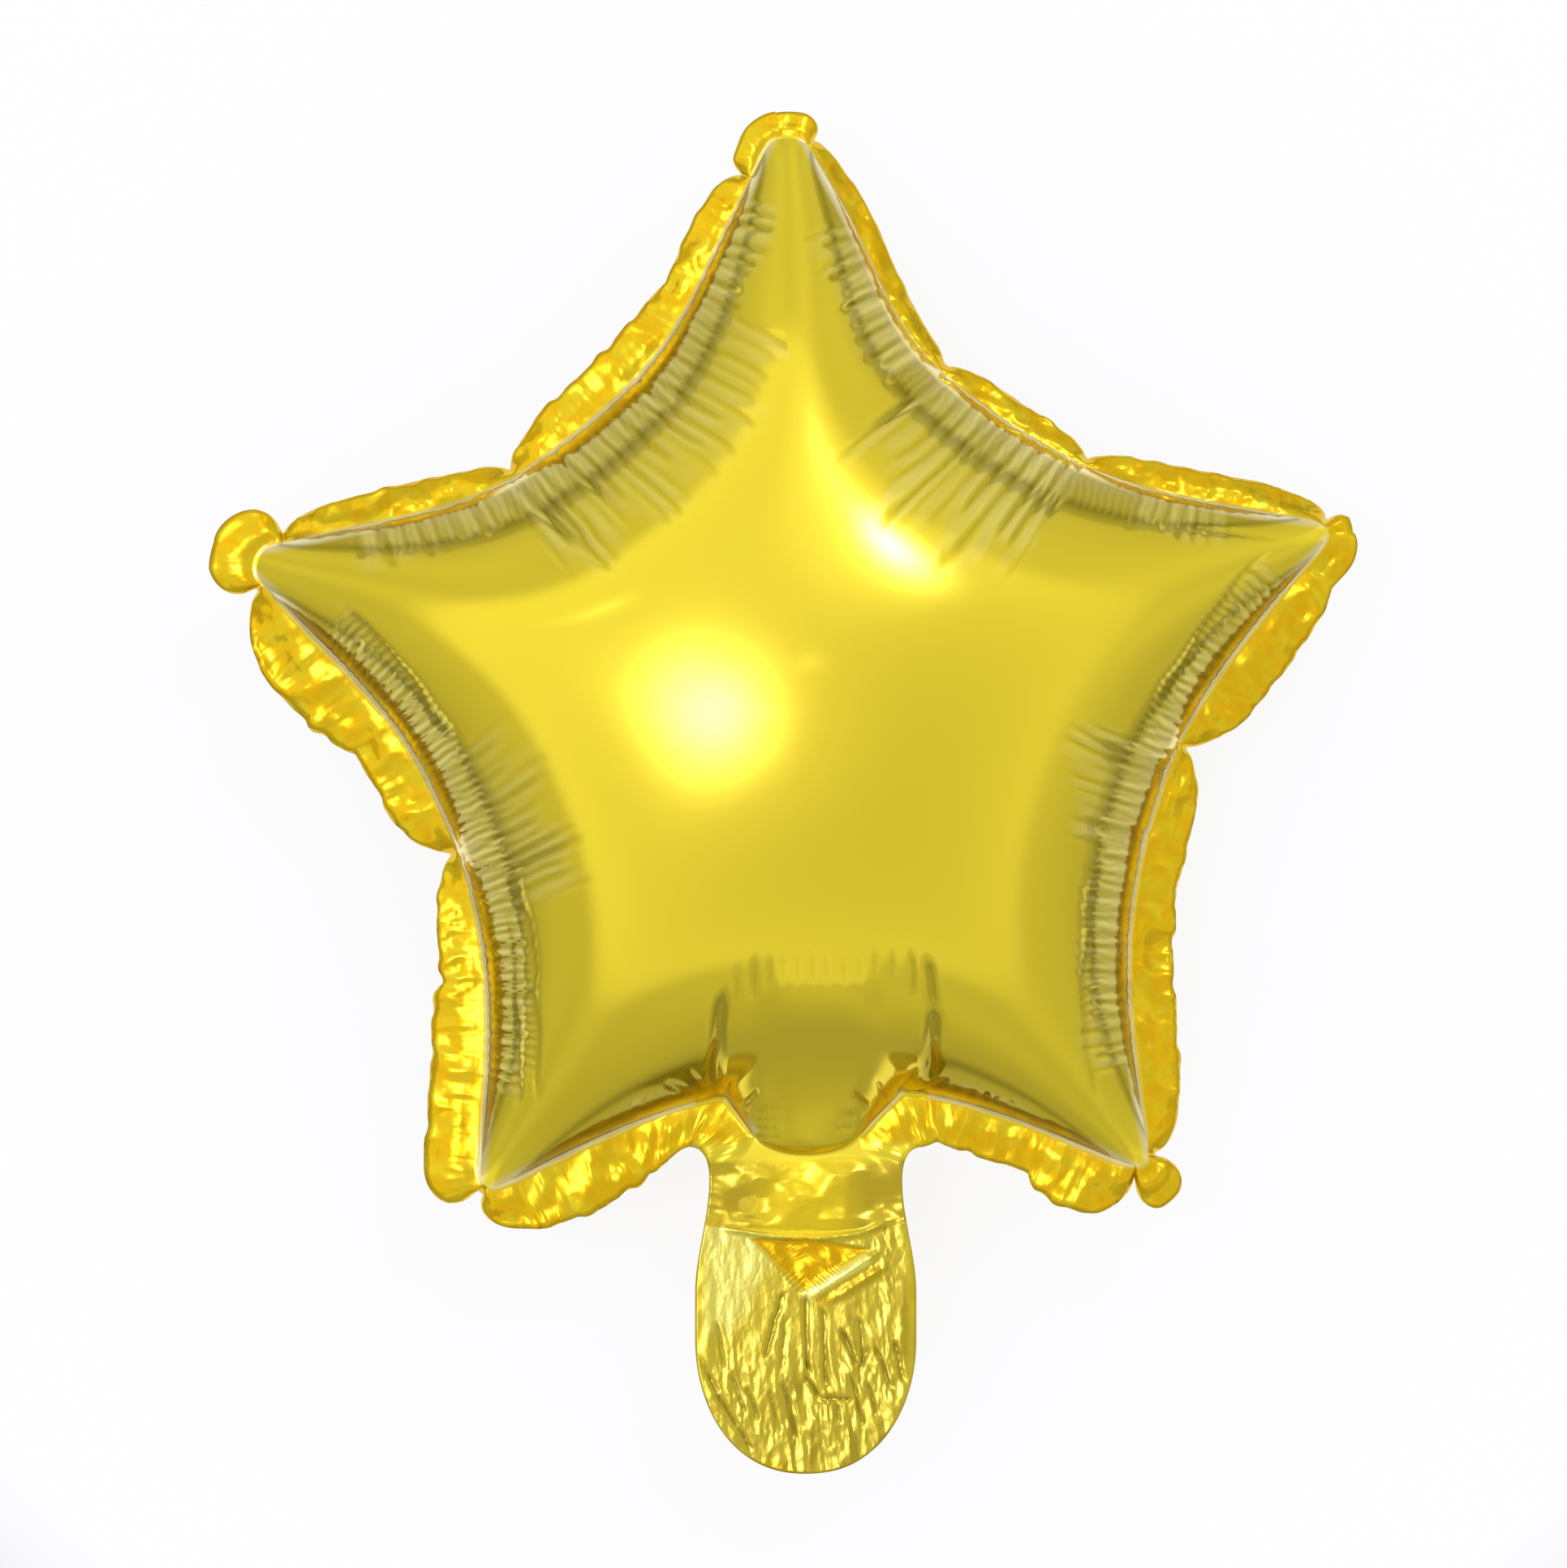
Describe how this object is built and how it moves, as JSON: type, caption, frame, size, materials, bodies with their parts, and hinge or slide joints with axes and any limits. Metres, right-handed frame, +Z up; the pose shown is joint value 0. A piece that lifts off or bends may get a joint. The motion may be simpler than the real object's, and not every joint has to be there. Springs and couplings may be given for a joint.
{
  "type": "star foil balloon",
  "caption": "Gold foil party balloon blown up into a five-pointed star, with a gathered sealed rim and a flat round-ended filling tail, lying on its back.",
  "frame": {"origin": "centre of the small flat spot on the back film that rests on the ground, under the star's centre", "axes": "+Z up out of the front film, +Y from the tail towards the star's top point, +X to the right as seen from the front; the seam's plane is parallel to X and Y"},
  "size_m": [0.2239, 0.2649, 0.0733],
  "materials": {
    "gold_foil": "metallised plastic film, bright lemon gold"
  },
  "bodies": {
    "root": {"foil_balloon": "gold_foil"}
  },
  "joints": []
}
